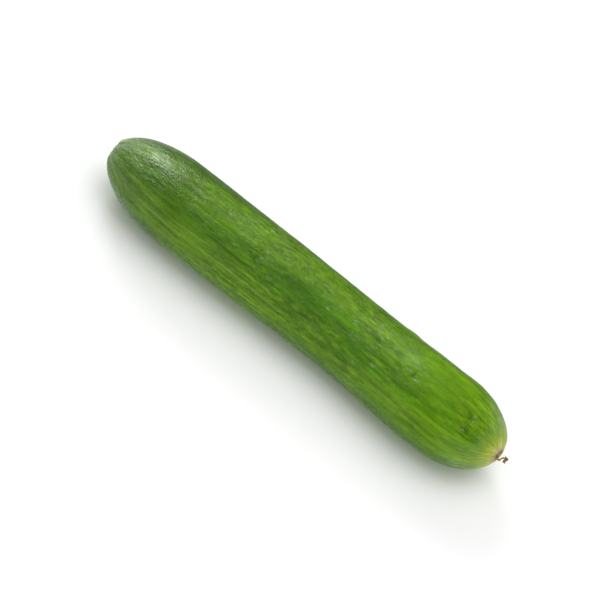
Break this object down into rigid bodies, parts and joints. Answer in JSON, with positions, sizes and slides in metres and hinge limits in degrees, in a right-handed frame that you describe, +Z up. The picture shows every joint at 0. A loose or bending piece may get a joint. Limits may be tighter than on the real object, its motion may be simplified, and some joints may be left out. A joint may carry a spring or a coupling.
{
  "type": "cucumber",
  "caption": "Fresh mini cucumber, picked and lying on its side: smooth, faintly ribbed green fruit with the stub of its stalk and its dried flower.",
  "frame": {"origin": "on the surface that the cucumber lies on, under the middle of its bounding box", "axes": "+X along the fruit from the stem end to the blossom end, +Y across it, +Z up from the surface"},
  "size_m": [0.165, 0.0302, 0.029],
  "materials": {
    "skin": "smooth waxy skin, semi-gloss, mid green, darker at the stem end and yellow-green at the blossom end",
    "cut_stalk": "pale, fibrous, matte cut stalk",
    "dried_flower": "brown, papery, matte dried plant tissue"
  },
  "bodies": {
    "root": {"fruit": "skin", "stalk_stub": "cut_stalk", "blossom_remnant": "dried_flower"}
  },
  "joints": []
}
